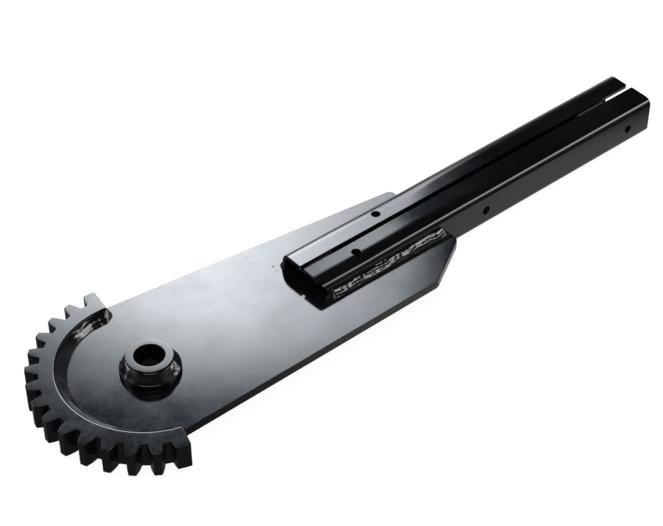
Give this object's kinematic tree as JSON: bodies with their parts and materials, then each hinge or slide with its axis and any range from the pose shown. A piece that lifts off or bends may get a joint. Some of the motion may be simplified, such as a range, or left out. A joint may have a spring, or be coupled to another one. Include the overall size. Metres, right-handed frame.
{
  "type": "sector gear lever arm",
  "caption": "Welded lever: toothed sector rim on a flat pivot plate with a tubular pivot boss and a slit C-channel arm, all in gloss black paint.",
  "frame": {"origin": "middle of the footprint, at the lower face of the pivot boss", "axes": "+X along the arm from the pivot to its open end, +Z along the pivot axis, out of the side where the channel's slit is"},
  "size_m": [0.6458, 0.1884, 0.041],
  "materials": {
    "plate_enamel": "smooth high-gloss black paint on sheet and plate",
    "rim_enamel": "gloss black paint on machined steel",
    "weld_enamel": "gloss black paint over rippled weld"
  },
  "bodies": {
    "root": {"pivot_plate": "plate_enamel", "toothed_rim": "rim_enamel", "pivot_boss": "rim_enamel", "channel_arm": "plate_enamel", "weld_rim_top": "weld_enamel", "weld_rim_bottom": "weld_enamel", "weld_boss_top": "weld_enamel", "weld_boss_bottom": "weld_enamel", "weld_arm_near_top": "weld_enamel", "weld_arm_near_bottom": "weld_enamel", "weld_arm_far_top": "weld_enamel", "weld_arm_far_bottom": "weld_enamel"}
  },
  "joints": []
}
